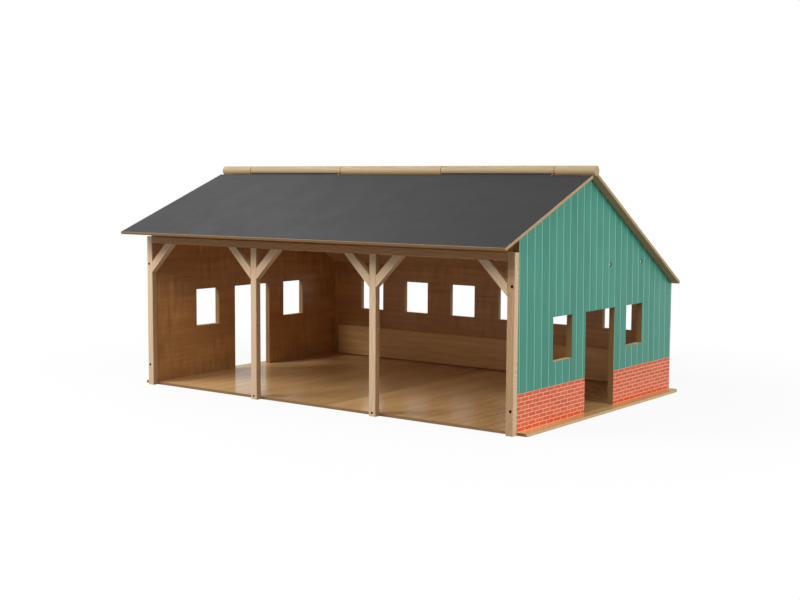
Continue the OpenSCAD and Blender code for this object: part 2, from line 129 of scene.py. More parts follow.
class ShedColours(PropertyGroup):
    """Colours of the finishes, as they look in plain light."""

    plank_green: colour("Plank green", "Painted planks", (0.060, 0.290, 0.212))
    plank_shade: colour("Plank shade", "Darker streaks on the planks", (0.034, 0.185, 0.135))
    plank_light: colour("Plank line", "Light line between two planks", (0.190, 0.530, 0.390))
    brick_red: colour("Brick", "Painted bricks", (0.800, 0.135, 0.045))
    brick_dark: colour("Dark brick", "Darkest painted bricks", (0.660, 0.092, 0.028))
    brick_deep: colour("Deep brick", "Bricks of the lowest and highest course", (0.740, 0.085, 0.018))
    mortar: colour("Mortar", "Painted joints between the bricks", (0.980, 0.470, 0.280))
    beech: colour("Beech", "Light tone of the posts, braces and beams", (0.760, 0.550, 0.345))
    beech_dark: colour("Beech grain", "Dark tone of the same wood", (0.600, 0.390, 0.215))
    # The next two tones are the beech darkened as painted shade, for the faces that get less light.
    beech_painted_shade: colour("Brown beech", "Light tone of the posts' browner faces", (0.540, 0.330, 0.168))
    beech_painted_shade_dark: colour("Brown beech grain", "Dark tone of the same faces", (0.400, 0.222, 0.098))
    # The lintel's two tones are darkened as painted shade of the eave above it.
    lintel: colour("Lintel wood", "Light tone of the lintel", (0.475, 0.232, 0.072))
    lintel_dark: colour("Lintel grain", "Dark tone of the lintel", (0.280, 0.124, 0.036))
    ridge: colour("Ridge wood", "Light tone of the ridge knuckles", (0.500, 0.380, 0.222))
    ridge_dark: colour("Ridge grain", "Dark tone of the ridge knuckles", (0.360, 0.250, 0.127))
    veneer: colour("Brown veneer", "Light tone of the walls inside", (0.560, 0.288, 0.106))
    veneer_dark: colour("Veneer grain", "Dark tone of the walls inside", (0.310, 0.152, 0.055))
    foot: colour("Foot board", "Light tone of the board along the rear wall", (0.880, 0.570, 0.255))
    foot_dark: colour("Foot board grain", "Dark tone of that board", (0.640, 0.380, 0.158))
    floor: colour("Floor", "Light tone of the lacquered floor", (0.665, 0.410, 0.177))
    floor_dark: colour("Floor grain", "Dark tone of the lacquered floor", (0.390, 0.214, 0.076))
    slate: colour("Slate grey", "Upper face of the roof boards", (0.031, 0.030, 0.0325))
    roof_edge: colour("Roof edge", "Sawn edges of the roof boards", (0.460, 0.310, 0.160))
    # This tone is the floor plate's own sawn edge; on the walls' upward faces and the rear wall's right
    # end it is painted light.
    floor_edge: colour("Floor edge", "Edges of the floor plate and window sills", (0.680, 0.460, 0.240))
    wall_edge: colour("Wall edge", "Sawn edges of the wall boards", (0.300, 0.165, 0.065))
    # The sawn edge darkened as painted shade, for the forward faces of the eave and the plate.
    front_edge: colour("Front edges", "Front edges of the eave and the plate", (0.290, 0.158, 0.072))
    # A darker edge tone, painted shade on the right gable's forward faces: its jambs and front edge.
    jamb_edge: colour("Right gable's jambs", "Sawn jambs of the right gable", (0.250, 0.142, 0.045))
    board_back: colour("Board back", "Underside of the roof boards", (0.580, 0.372, 0.200))
    # Near-black: painted shade on the walls of the drilled holes.
    painted_bore_shade: colour("Bores", "Walls of the drilled holes", (0.045, 0.024, 0.011))
    # Zinc darkened as painted shade, for screws and nails deep in their holes.
    painted_shade_zinc: colour("Dull zinc", "Screws and nails deep in their holes", (0.060, 0.048, 0.038))
    zinc: colour("Zinc", "Plated screws, nails and pins", (0.820, 0.800, 0.770))
    ground: colour("Ground", "Studio floor", (0.220, 0.220, 0.220))


class StageSettings(PropertyGroup):
    """The photographer's side: the camera, the lamps and the sky."""

    lens: FloatProperty(name="Lens", description="Focal length", default=57.64, min=1.0, unit="CAMERA")
    yaw: camera_turn("Yaw", "Camera's turn to the left of +Y", 36.683)
    pitch: camera_turn("Pitch", "Camera's tilt below the horizon", 5.350)
    roll: camera_turn("Roll", "Camera's turn about its own axis", 0.329)
    place: FloatVectorProperty(name="Place", description="Camera's place", size=3,
                               default=(1.3074, -1.7810, 0.3591), subtype="TRANSLATION", unit="LENGTH")
    front_lamp: power("Front lamp", "Power of the high lamp in front, to the left", 29.0)
    fill_lamp: power("Fill lamp", "Power of the lamp in front, to the right", 23.0)
    side_lamp: power("Side lamp", "Power of the lamp on the right", 29.0)
    top_lamp: power("Top lamp", "Power of the lamp above, behind and to the left", 5.0)
    sky: share("Sky", "Strength of the even light from all round", 0.23)
    mirrored_sky: share("Mirrored sky", "How much of the sky's white shows in shiny surfaces", 0.42)


# ---- node trees ----


def feed(tree, socket, value):
    """Gives an input another node's output, a colour or a number. None leaves it alone."""
    if isinstance(value, NodeSocket):
        tree.links.new(value, socket)
    elif isinstance(value, Color):
        socket.default_value = (*value, 1.0)
    elif value is not None:
        socket.default_value = value


def add(tree, kind, *values, **settings):
    """A shader node with those settings, whose inputs take the values in order."""
    node = tree.nodes.new("ShaderNode" + kind)
    for name, value in settings.items():
        setattr(node, name, value)
    for socket, value in zip(node.inputs, values):
        feed(tree, socket, value)
    return node


def calc(tree, operation, *values):
    """The output of a Math node."""
    return add(tree, "Math", *values, operation=operation).outputs[0]


def layered(tree, value, *layers):
    """The value with patterns laid over it. Each layer is a pattern, its middle and its strength,
    and adds the strength times the pattern's distance from the middle."""
    for pattern, middle, strength in layers:
        value = calc(tree, "MULTIPLY_ADD", calc(tree, "SUBTRACT", pattern, middle), strength, value)
    return value


def blend(tree, factor, first, second, kind="MIX", clamped=True):
    """A colour between two, or the first treated by the second, by the factor. Unclamped, a factor
    below 0 goes past the first colour. The Mix node's colours are its inputs 6 and 7, output 2."""
    node = add(tree, "Mix", factor, data_type="RGBA", blend_type=kind, clamp_factor=clamped)
    feed(tree, node.inputs[6], first)
    feed(tree, node.inputs[7], second)
    return node.outputs[2]


def toned(tree, base, value):
    """A colour made lighter or darker by a value around 1."""
    grey = add(tree, "CombineXYZ", value, value, value).outputs[0]
    return blend(tree, 1.0, base, grey, "MULTIPLY")


def fade(tree, value, low, high, to_low=0.0, to_high=1.0):
    """The value's place between low and high, eased at both ends."""
    node = add(tree, "MapRange", value, low, high, to_low, to_high, interpolation_type="SMOOTHSTEP")
    return node.outputs[0]


def drawn(tree, number):
    """A value from 0 to 1 that is drawn anew for each whole number."""
    whole = calc(tree, "FLOOR", number)
    return add(tree, "TexWhiteNoise", None, whole, noise_dimensions="1D").outputs[0]


def stretched_noise(tree, vector, scale, detail=2.0, roughness=0.5, distortion=0.0):
    """Noise whose grains are stretched by a scale for each axis, in grains a millimetre."""
    placed = add(tree, "Mapping", vector, None, None, scale, vector_type="POINT").outputs[0]
    node = add(tree, "TexNoise", placed, None, 1.0, detail, roughness)
    node.inputs["Distortion"].default_value = distortion
    return node.outputs[0]


def even_noise(tree, vector, scale, detail=2.0, roughness=0.5):
    """Noise with the same scale along each axis, in grains a millimetre."""
    return stretched_noise(tree, vector, (scale, scale, scale), detail, roughness)


def new_group(name, inputs, outputs):
    """A shader node group with those sockets, what its inputs carry, and its output node."""
    group = bpy.data.node_groups.new(name, "ShaderNodeTree")
    for label, kind, start in inputs:
        socket = group.interface.new_socket(label, in_out="INPUT", socket_type="NodeSocket" + kind)
        if start is not None:
            socket.default_value = start
    for label, kind in outputs:
        group.interface.new_socket(label, in_out="OUTPUT", socket_type="NodeSocket" + kind)
    carried = group.nodes.new("NodeGroupInput").outputs[:len(inputs)]
    return group, carried, group.nodes.new("NodeGroupOutput")


def put_out(group, outside, *values):
    """Joins the values to the group's outputs, in order."""
    for value, socket in zip(values, outside.inputs):
        group.links.new(value, socket)


def make_once(name, build):
    """The node group of that name, built the first time it is asked for."""
    return bpy.data.node_groups.get(name) or build(name)


SHEET_WIDTH = 88.0  # of one strip of the floor's veneer, in millimetres
SHEET_EDGE = 72.0  # where two strips meet, across the grain
SHEET_DRAW = 2826.0  # which tones are drawn for the strips


def wood_figure(name):
    """Sawn wood with its grain along X, in millimetres. Growth rings are bands of the distance from
    a pith line that wavers along the grain. Fibres are fine streaks, flecks are short dashes, and
    mottle is a soft ripple across the grain, in patches. Sheets are strips of veneer laid side by
    side, each with a tone of its own."""
    group, carried, outside = new_group(
        name,
        (("Vector", "Vector", None), ("Light", "Color", None), ("Dark", "Color", None),
         ("Ring Width", "Float", 4.0), ("Waver", "Float", 6.0), ("Figure", "Float", 0.5),
         ("Fibre", "Float", 0.35), ("Fleck", "Float", 0.3), ("Tone", "Float", 0.25),
         ("Mottle", "Float", 0.0), ("Sheets", "Float", 0.0)),
        (("Color", "Color"), ("Grain", "Float"), ("Height", "Float")))
    vector, light, dark, ring, waver, figure, fibre, fleck, tone, mottle, sheets = carried
    parts = add(group, "SeparateXYZ", vector).outputs

    drift = stretched_noise(group, vector, (0.006, 0.016, 0.016))
    ripple = stretched_noise(group, vector, (0.02, 0.12, 0.12))
    across = calc(group, "MULTIPLY_ADD", drift, waver, parts[1])
    across = calc(group, "MULTIPLY_ADD", ripple, calc(group, "MULTIPLY", waver, 0.12), across)
    deep = calc(group, "MULTIPLY_ADD", drift, waver, parts[2])
    squares = calc(group, "MULTIPLY_ADD", across, across, calc(group, "MULTIPLY", deep, deep))
    turn = calc(group, "FRACT", calc(group, "DIVIDE", calc(group, "SQRT", squares), ring))
    late_wood = calc(group, "MULTIPLY", fade(group, turn, 0.1, 0.82), fade(group, turn, 1.0, 0.86))

    fibres = stretched_noise(group, vector, (0.035, 1.9, 1.9), 3.0, 0.6)
    streaks = stretched_noise(group, vector, (0.012, 0.34, 0.34), 2.0, 0.6)
    dashes = fade(group, stretched_noise(group, vector, (0.42, 3.1, 3.1), 1.0), 0.63, 0.74)
    broad = stretched_noise(group, vector, (0.0014, 0.012, 0.012), 4.0, 0.75)
    curl = calc(group, "SUBTRACT", stretched_noise(group, vector, (0.11, 0.018, 0.018)), 0.5)
    patch = fade(group, stretched_noise(group, vector, (0.01, 0.013, 0.013), 1.0), 0.42, 0.66)
    curl = calc(group, "MULTIPLY", curl, patch)
    sheet = calc(group, "DIVIDE", calc(group, "SUBTRACT", parts[2], SHEET_EDGE), SHEET_WIDTH)
    sheet = drawn(group, calc(group, "ADD", sheet, SHEET_DRAW))

    grain = layered(group, calc(group, "MULTIPLY", late_wood, figure),
                    (fibres, 0.5, fibre), (streaks, 0.45, fibre), (broad, 0.5, tone),
                    (curl, 0.0, mottle), (sheet, 0.5, sheets), (dashes, 0.0, fleck))
    grain = add(group, "Clamp", grain, -0.8, 1.3).outputs[0]
    height = calc(group, "MULTIPLY_ADD", dashes, -0.6, calc(group, "MULTIPLY", fibres, 0.8))
    put_out(group, outside, blend(group, grain, light, dark, clamped=False), grain, height)
    return group


def pressed_fibres(name):
    """The sawn edge or bare back of a fibre board: short fibres, pale specks and broad tones."""
    group, (vector, base, contrast), outside = new_group(
        name,
        (("Vector", "Vector", None), ("Color", "Color", None), ("Contrast", "Float", 0.3)),
        (("Color", "Color"), ("Height", "Float")))
    fine = even_noise(group, vector, 1.6, 3.0, 0.7)
    wide = even_noise(group, vector, 0.09)
    specks = fade(group, even_noise(group, vector, 0.9, 1.0), 0.62, 0.75)
    value = layered(group, 1.0, (fine, 0.5, 1.0), (wide, 0.5, 0.6), (specks, 0.0, 0.35))
    put_out(group, outside, blend(group, contrast, base, toned(group, base, value)), fine)
    return group


def handling_marks(name):
    """Faint smudges and hairline rubs on a smooth coat: a mask and a fine height."""
    group, (vector, amount), outside = new_group(
        name, (("Vector", "Vector", None), ("Amount", "Float", 0.5)),
        (("Mask", "Float"), ("Height", "Float")))
    smudge = even_noise(group, vector, 0.02, 3.0, 0.6)
    rub_a = stretched_noise(group, vector, (0.012, 0.7, 0.7), distortion=0.4)
    rub_b = stretched_noise(group, vector, (0.6, 0.012, 0.012), distortion=0.4)
    rubs = calc(group, "MAXIMUM", fade(group, rub_a, 0.64, 0.72), fade(group, rub_b, 0.66, 0.74))
    mask = calc(group, "MULTIPLY_ADD", rubs, 0.35, fade(group, smudge, 0.35, 0.7))
    put_out(group, outside, calc(group, "MULTIPLY", mask, amount), even_noise(group, vector, 1.2))
    return group


def in_millimetres(tree, vector):
    """A vector in metres as millimetres."""
    return add(tree, "VectorMath", vector, (1000.0, 1000.0, 1000.0), operation="MULTIPLY").outputs[0]


def own_grain(tree):
    """The piece's own grain coordinates in millimetres, with its grain along X."""
    return in_millimetres(tree, add(tree, "Attribute", attribute_name="grain").outputs["Vector"])


def shed_place(tree):
    """The place in the shed in millimetres."""
    return in_millimetres(tree, add(tree, "TexCoord").outputs["Object"])


# ---- finishes ----


def new_material(name, roughness, coat=0.0, specular=0.5, metallic=0.0):
    """A material whose shader has those even values, its tree and its shader."""
    material = bpy.data.materials.new(name)
    material.use_nodes = True
    shader = material.node_tree.nodes["Principled BSDF"]
    even = {"Roughness": roughness, "Coat Weight": coat, "Coat Roughness": 0.2,
            "Specular IOR Level": specular, "Metallic": metallic}
    for label, value in even.items():
        shader.inputs[label].default_value = value
    return material, material.node_tree, shader


def cover(tree, shader, base, rough, height, depth):
    """Gives the shader its colour and roughness, and bumps it by a height from 0 to 1, that deep in
    metres."""
    feed(tree, shader.inputs["Base Color"], base)
    feed(tree, shader.inputs["Roughness"], rough)
    bump = add(tree, "Bump", 1.0, depth)
    feed(tree, bump.inputs["Height"], height)
    feed(tree, shader.inputs["Normal"], bump.outputs[0])


def wood_material(name, stain, roughness, coat=0.0, specular=0.5, bump=0.06, **figure):
    """Sawn and finished wood between a stain's two tones. The figure's values are the inputs of the
    wood figure group."""
    material, tree, shader = new_material(name, roughness, coat, specular)
    colours = bpy.context.scene.shed_colours
    light, dark = getattr(colours, stain), getattr(colours, stain + "_dark")
    node = add(tree, "Group", own_grain(tree), light, dark,
               node_tree=make_once("wood_figure", wood_figure))
    for label, value in figure.items():
        node.inputs[label.replace("_", " ").title()].default_value = value
    rough = calc(tree, "MULTIPLY_ADD", node.outputs["Grain"], 0.12, roughness - 0.04)
    cover(tree, shader, node.outputs["Color"], rough, node.outputs["Height"], bump * MM)
    return material


def edge_material(name, base, roughness=0.62, contrast=0.3):
    """A sawn board edge, a bare back or the wall of a drilled hole."""
    material, tree, shader = new_material(name, roughness, specular=0.3)
    node = add(tree, "Group", shed_place(tree), base, contrast,
               node_tree=make_once("pressed_fibres", pressed_fibres))
    cover(tree, shader, node.outputs["Color"], None, node.outputs["Height"], 0.08 * MM)
    return material


def slate_material(name, base):
    """The roof's grey film: an even satin coat with faint cloudy patches and rubs."""
    material, tree, shader = new_material(name, 0.5, specular=0.13)
    place = shed_place(tree)
    marks = add(tree, "Group", place, 0.5, node_tree=make_once("handling_marks", handling_marks))
    mask = marks.outputs["Mask"]
    cloud = stretched_noise(tree, place, (0.006, 0.009, 0.009), 3.0, 0.55)
    speck = even_noise(tree, place, 0.5)
    value = layered(tree, 1.0, (cloud, 0.5, 0.16), (speck, 0.5, 0.16), (mask, 0.0, 0.05))
    cover(tree, shader, toned(tree, base, value), calc(tree, "MULTIPLY_ADD", mask, 0.1, 0.45),
          marks.outputs["Height"], 0.03 * MM)
    return material


def painted_wall_material(name, sizes, colours):
    """A gable wall's painted face: upright green planks over a brick foot. The planks are a ramp of
    the place within one pitch, with a shadow behind each light line and a tone of their own; the
    bricks are a running bond in the wall's own plane, a little smeared."""
    material, tree, shader = new_material(name, 0.38, specular=0.25)
    place = shed_place(tree)
    along, up = add(tree, "SeparateXYZ", place).outputs[1:3]

    pitch = sizes.plank_pitch / MM
    half_line = sizes.plank_line / MM / 2
    upright = calc(tree, "MULTIPLY_ADD", up, sizes.plank_lean, along)
    turn = calc(tree, "DIVIDE", calc(tree, "SUBTRACT", upright, sizes.plank_start / MM), pitch)
    from_line = calc(tree, "MULTIPLY", calc(tree, "PINGPONG", turn, 0.5), pitch)
    line = fade(tree, from_line, half_line * 1.25, half_line * 0.7)
    shadow = fade(tree, calc(tree, "FRACT", turn), 0.24, 0.06)
    streaks = stretched_noise(tree, place, (1.0, 0.42, 0.012), 3.0, 0.6)
    patches = stretched_noise(tree, place, (0.02, 0.06, 0.012))
    shade = layered(tree, 0.0, (shadow, 0.0, 0.55), (streaks, 0.5, 1.3), (patches, 0.5, 0.7),
                    (drawn(tree, turn), 0.2, 0.35))
    shade = add(tree, "Clamp", shade).outputs[0]
    planks = blend(tree, shade, colours.plank_green, colours.plank_shade)
    planks = blend(tree, line, planks, colours.plank_light)

    top = sizes.brick_top / MM
    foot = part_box("right_gable_wall")[0].z / MM
    course = (top - foot) / sizes.brick_courses
    past_zero = calc(tree, "ADD", along, 1000.0)
    flat = add(tree, "CombineXYZ", past_zero, calc(tree, "SUBTRACT", up, foot)).outputs[0]
    bricks = add(tree, "TexBrick", flat, colours.brick_red, colours.brick_dark, colours.mortar, 1.0,
                 sizes.brick_joint / MM / 2, 0.5, 0.1, sizes.brick_length / MM, course,
                 offset=0.5, offset_frequency=2, squash_frequency=1)
    ends = calc(tree, "MAXIMUM", fade(tree, up, foot + course * 1.05, foot + course * 0.95),
                fade(tree, up, top - course * 1.0, top - course * 0.9, 0.0, 0.6))
    ends = calc(tree, "MULTIPLY", ends, calc(tree, "SUBTRACT", 1.0, bricks.outputs["Fac"]))
    wall = blend(tree, ends, bricks.outputs["Color"], colours.brick_deep)
    smear = stretched_noise(tree, place, (0.3, 0.3, 0.5), 3.0, 0.6)
    wall = blend(tree, fade(tree, smear, 0.45, 0.75, 0.0, 0.12), wall, colours.mortar)

    blur = 0.15
    is_brick = fade(tree, up, top + blur, top - blur)
    marks = add(tree, "Group", place, 0.4, node_tree=make_once("handling_marks", handling_marks))
    rough = calc(tree, "MULTIPLY_ADD", marks.outputs["Mask"], 0.18, 0.3)
    height = calc(tree, "MULTIPLY_ADD", marks.outputs["Height"], 0.25, line)
    cover(tree, shader, blend(tree, is_brick, planks, wall), rough, height, 0.05 * MM)
    return material


def zinc_material(name, base):
    """Plated steel with a fine, uneven sheen."""
    material, tree, shader = new_material(name, 0.3, metallic=1.0)
    fine = even_noise(tree, shed_place(tree), 3.0)
    cover(tree, shader, toned(tree, base, layered(tree, 1.0, (fine, 0.5, 0.3))),
          calc(tree, "MULTIPLY_ADD", fine, 0.3, 0.18), fine, 0.02 * MM)
    return material


# The woods: each one's stain and finish, and its values for the wood figure's inputs.
WOODS = {
    "beech": dict(stain="beech", roughness=0.48, ring_width=3.4, waver=22.0, figure=0.4, fibre=0.55,
                  fleck=0.45, tone=0.5),
    "figured_beech": dict(stain="beech", roughness=0.46, ring_width=3.0, waver=150.0, figure=0.75,
                          fibre=0.45, fleck=0.45, tone=0.4),
    # Beech darkened as painted shade, for the faces of the posts and braces that get less light.
    "brown_beech": dict(stain="beech_painted_shade", roughness=0.48, ring_width=3.0, waver=40.0, figure=0.5,
                        fibre=0.5, fleck=0.45, tone=0.5),
    # The lintel's wood, darkened as painted shade of the eave.
    "lintel_wood": dict(stain="lintel", roughness=0.48, ring_width=3.4, waver=22.0, figure=0.4,
                        fibre=0.6, fleck=0.45, tone=0.8),
    "turned_wood": dict(stain="ridge", roughness=0.5, specular=0.2, ring_width=2.6, waver=16.0,
                        figure=0.45, fibre=0.6, fleck=0.15, tone=0.9),
    "peg_wood": dict(stain="beech", roughness=0.6, ring_width=2.0, waver=8.0, figure=0.35),
    "brown_veneer": dict(stain="veneer", roughness=0.4, coat=0.1, specular=0.35, bump=0.03,
                         ring_width=9.0, waver=14.0, figure=0.16, fibre=1.0, fleck=0.35, tone=1.9,
                         mottle=1.8),
    "foot_board_veneer": dict(stain="foot", roughness=0.4, coat=0.1, specular=0.35, bump=0.03,
                              ring_width=7.0, waver=9.0, figure=0.25, fibre=1.2, fleck=0.25,
                              tone=1.0, mottle=0.3),
    "floor_lacquer": dict(stain="floor", roughness=0.24, coat=0.04, specular=0.35, bump=0.01,
                          ring_width=15.0, waver=14.0, figure=0.25, fibre=0.7, fleck=0.2, tone=2.8,
                          sheets=1.5),
}


def finish(name):
    """The material of that name, made when it is first asked for. A sawn edge has the colour of its
    own name."""
    found = bpy.data.materials.get(name)
    if found:
        return found
    if name in WOODS:
        return wood_material(name, **WOODS[name])
    sizes, colours = bpy.context.scene.shed_sizes, bpy.context.scene.shed_colours
    if name.endswith("_edge"):
        return edge_material(name, getattr(colours, name))
    makers = {
        "board_back": lambda: edge_material(name, colours.board_back, roughness=0.7, contrast=0.45),
        # The holes' walls are near-black, painted shade.
        "bored_wood": lambda: edge_material(name, colours.painted_bore_shade, roughness=0.8, contrast=0.5),
        "slate_film": lambda: slate_material(name, colours.slate),
        "painted_wall": lambda: painted_wall_material(name, sizes, colours),
        "zinc_plate": lambda: zinc_material(name, colours.zinc),
        # The same zinc darkened as painted shade.
        "dull_zinc_plate": lambda: zinc_material(name, colours.painted_shade_zinc),
    }
    return makers[name]()


# ---- shapes ----


def keep(mesh, node, materials):
    """Puts a CAD node's finished mesh in the scene, in the node's place and on its body."""
    piece = bpy.data.objects.new(node + "_finish", mesh)
    bpy.context.scene.collection.objects.link(piece)
    for material in materials:
        mesh.materials.append(finish(material))
    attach(piece, frame["nodes"][node]["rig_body"])
    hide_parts(node)
    return piece


def merged_copy(node):
    """A CAD node's mesh with its loose triangles joined."""
    shape = bmesh.new()
    shape.from_mesh(frame["nodes"][node].data)
    bmesh.ops.remove_doubles(shape, verts=shape.verts, dist=0.002 * MM)
    return shape


def solids_of(node):
    """The corner points of each separate solid in a CAD node, all in a fixed order."""
    shape = merged_copy(node)
    left, found = set(shape.verts), []
    while left:
        reached, solid = [left.pop()], []
        while reached:
            vertex = reached.pop()
            solid.append(tuple(vertex.co))
            for link in vertex.link_edges:
                other = link.other_vert(vertex)
                if other in left:
                    left.remove(other)
                    reached.append(other)
        found.append(np.array(sorted(solid)))
    shape.free()
    return sorted(found, key=lambda points: tuple(points.mean(axis=0).round(4)))


def read_all(items, what, width=3):
    """One measure of every vertex or face of a mesh, as an array with a row for each."""
    values = np.empty(len(items) * width)
    items.foreach_get(what, values)
    return values.reshape(-1, width)


def unit(vector):
    """The vector's direction, with length 1."""
    return np.array(vector, float) / np.linalg.norm(vector)


def panel_normal(node):
    """The way that a roof panel's upper face looks, from its upward faces by their areas."""
    faces = frame["nodes"][node].data.polygons
    normals = read_all(faces, "normal")
    up = normals[:, 2] > 0.3
    return unit((normals * read_all(faces, "area", 1))[up].sum(axis=0))


def store_grain(mesh, direction, seed, pith=(0.0, 0.0)):
    """Writes each vertex's grain coordinates: its place from the piece's middle, turned so that the
    grain's direction is X, and moved by the seed so that no two pieces show the same figure."""
    metres_a_seed = 1.7
    points = read_all(mesh.vertices, "co")
    middle = (points.min(axis=0) + points.max(axis=0)) / 2
    x = unit(direction)
    y = unit(np.cross(np.eye(3)[np.argmin(np.abs(x))], x))
    turned = (points - middle) @ np.array([x, y, np.cross(x, y)]).T
    turned += np.array([metres_a_seed * seed, *pith])
    attribute = mesh.attributes.new("grain", "FLOAT_VECTOR", "POINT")
    attribute.data.foreach_set("vector", turned.astype(np.float32).ravel())


def painted_shade_bore_faces(mesh):
    """Which faces are walls of a hole, for painted shade: small ones, away from the mesh box's sides.
    """
    largest, margin = 40 * MM * MM, 0.3 * MM
    centres = read_all(mesh.polygons, "center")
    corners = read_all(mesh.vertices, "co")
    inside = np.minimum(centres - corners.min(axis=0), corners.max(axis=0) - centres).min(axis=1)
    return (inside > margin) & (read_all(mesh.polygons, "area", 1)[:, 0] < largest)


def eased_piece(node, easing, direction, materials, faces=(), seed=0.0, pith=(0.0, 0.0),
                paint_bore_shade=False):
    """A board or stick as the CAD node gives it, with rounded edges. The first material covers its
    edges, each face direction takes the next one in turn, and the walls of its holes may take a
    near-black one, which is painted shade."""
    shape = merged_copy(node)
    bmesh.ops.dissolve_limit(shape, angle_limit=math.radians(0.5), verts=shape.verts, edges=shape.edges)
    mesh = bpy.data.meshes.new(node + "_finish")
    shape.to_mesh(mesh)
    shape.free()
    mesh.shade_smooth()
    normals, same_way = read_all(mesh.polygons, "normal"), 0.99
    chosen = np.zeros(len(normals), np.int32)
    for index, face in enumerate(faces, 1):
        chosen[normals @ unit(face) > same_way] = index
    # The walls of the holes take the near-black one, painted shade.
    if paint_bore_shade:
        chosen[painted_shade_bore_faces(mesh)] = len(materials)
        materials = [*materials, "bored_wood"]
    mesh.polygons.foreach_set("material_index", chosen)
    store_grain(mesh, direction, seed, pith)
    piece = keep(mesh, node, materials)
    bevel = piece.modifiers.new("Eased edges", "BEVEL")
    bevel.width = easing
    bevel.segments = 2
    bevel.limit_method = "ANGLE"
    bevel.angle_limit = math.radians(30)
    bevel.harden_normals = True
    bevel.material = 0
    even = piece.modifiers.new("Even faces", "WEIGHTED_NORMAL")
    even.keep_sharp = True


def grid_faces(rows, columns, closed):
    """The quads of a grid of vertices that is numbered row by row, joined round when closed."""
    row, column = np.meshgrid(np.arange(rows - 1), np.arange(columns if closed else columns - 1),
                              indexing="ij")
    after = (column + 1) % columns
    quads = np.stack([row * columns + column, row * columns + after,
                      (row + 1) * columns + after, (row + 1) * columns + column], axis=-1)
    return quads.reshape(-1, 4)


def turned_surface(profile, sides, ripple=None):
    """A profile of radius and height carried round Z: point (i, j) lies at angle 2 pi j / sides and
    at the profile's radius i, changed by ripple(angle, height, radius). Its ends close in poles."""
    profile = np.array(profile, float)
    angle = np.arange(sides) * 2 * np.pi / sides
    radius = np.repeat(profile[:, :1], sides, axis=1)
    height = np.repeat(profile[:, 1:], sides, axis=1)
    if ripple:
        radius = ripple(angle[None, :], height, radius)
    grid = np.stack([radius * np.cos(angle), radius * np.sin(angle), height], axis=-1)
    points = grid.reshape(-1, 3)
    quads = grid_faces(len(profile), sides, True)
    first, last = len(points), len(points) + 1
    points = np.vstack([points, [0, 0, profile[0, 1]], [0, 0, profile[-1, 1]]])
    ring = np.arange(sides)
    after = (ring + 1) % sides
    end = (len(profile) - 1) * sides
    faces = [*quads.tolist(),
             *np.stack([np.full(sides, first), after, ring], axis=-1).tolist(),
             *np.stack([np.full(sides, last), end + ring, end + after], axis=-1).tolist()]
    return points, faces


def driver_head(radius, dome, recess, cells):
    """A screw head's outer face on a square grid that is drawn out into a disc, so that its middle
    lines are straight. Its height is a dome, less a cross whose arms slope down to the centre."""
    arm_half_width, arm_reach = 0.17, 0.62
    side_slope, floor_slope = 4, 1.15
    line = np.linspace(-1, 1, cells)
    u, v = np.meshgrid(line, line, indexing="ij")
    x = u * np.sqrt(1 - v * v / 2)
    y = v * np.sqrt(1 - u * u / 2)

    def arm(side, run):
        """How deep one arm of the cross is: full in its middle, nothing past its sides and end."""
        wall = np.clip(side_slope * (1 - np.abs(side) / arm_half_width), 0, 1)
        floor = np.clip(floor_slope * (1 - np.abs(run) / arm_reach), 0, 1)
        return wall * floor

    height = -dome * (1 - (x * x + y * y)) + recess * np.maximum(arm(x, y), arm(y, x))
    return np.stack([x * radius, y * radius, height], axis=-1)


def disc_border(cells):
    """The numbers of a square grid's border vertices, in order round it."""
    index = np.arange(cells * cells).reshape(cells, cells)
    return np.concatenate([index[:-1, 0], index[-1, :-1], index[:0:-1, -1], index[0, :0:-1]])


def screw_surface(head, tip, dome, cells, pitch, depth):
    """A wood screw along +Z, from its head's rim at height 0 to its tip. The rings below the head
    have the head border's own angles. Along the shank the radius follows a helix, and it narrows
    to the tip."""
    head_depth, shank, recess = 0.62 * head, 0.52 * head, 0.42 * head
    thread_start = head_depth + 0.25 * (tip - head_depth)
    taper, blunt_tip = 3.2 * shank, 0.02
    rings_a_turn, crest_slope = 5, 3.2
    face = driver_head(head, dome, recess, cells)
    border = disc_border(cells)
    points = face.reshape(-1, 3)
    angle_of = np.arctan2(points[border, 1], points[border, 0])
    heights = np.concatenate([[head_depth, (head_depth + thread_start) / 2],
                              np.arange(thread_start, tip - 0.1 * MM, pitch / rings_a_turn)])
    turn = (heights[:, None] / pitch - angle_of[None, :] / (2 * np.pi)) % 1
    crest = np.clip(1 - np.abs(turn - 0.5) * crest_slope, 0, 1)
    threaded = np.clip((heights - thread_start) / pitch, 0, 1)[:, None]
    narrowing = np.clip((tip - heights) / taper, blunt_tip, 1)[:, None]
    radius = (shank - depth * threaded * (1 - crest)) * narrowing
    rings = np.stack([radius * np.cos(angle_of), radius * np.sin(angle_of),
                      np.repeat(heights[:, None], len(angle_of), axis=1)], axis=-1)
    start = len(points)
    points = np.vstack([points, rings.reshape(-1, 3), [0, 0, tip]])
    count = len(border)
    here = np.arange(count)
    after = (here + 1) % count
    last = start + (len(heights) - 1) * count
    neck = np.stack([border, border[after], start + after, start + here], axis=-1)
    cone = np.stack([last + here, last + after, np.full(count, len(points) - 1)], axis=-1)
    faces = (grid_faces(cells, cells, False), neck, grid_faces(len(heights), count, True) + start, cone)
    return points, [face for part in faces for face in part.tolist()]


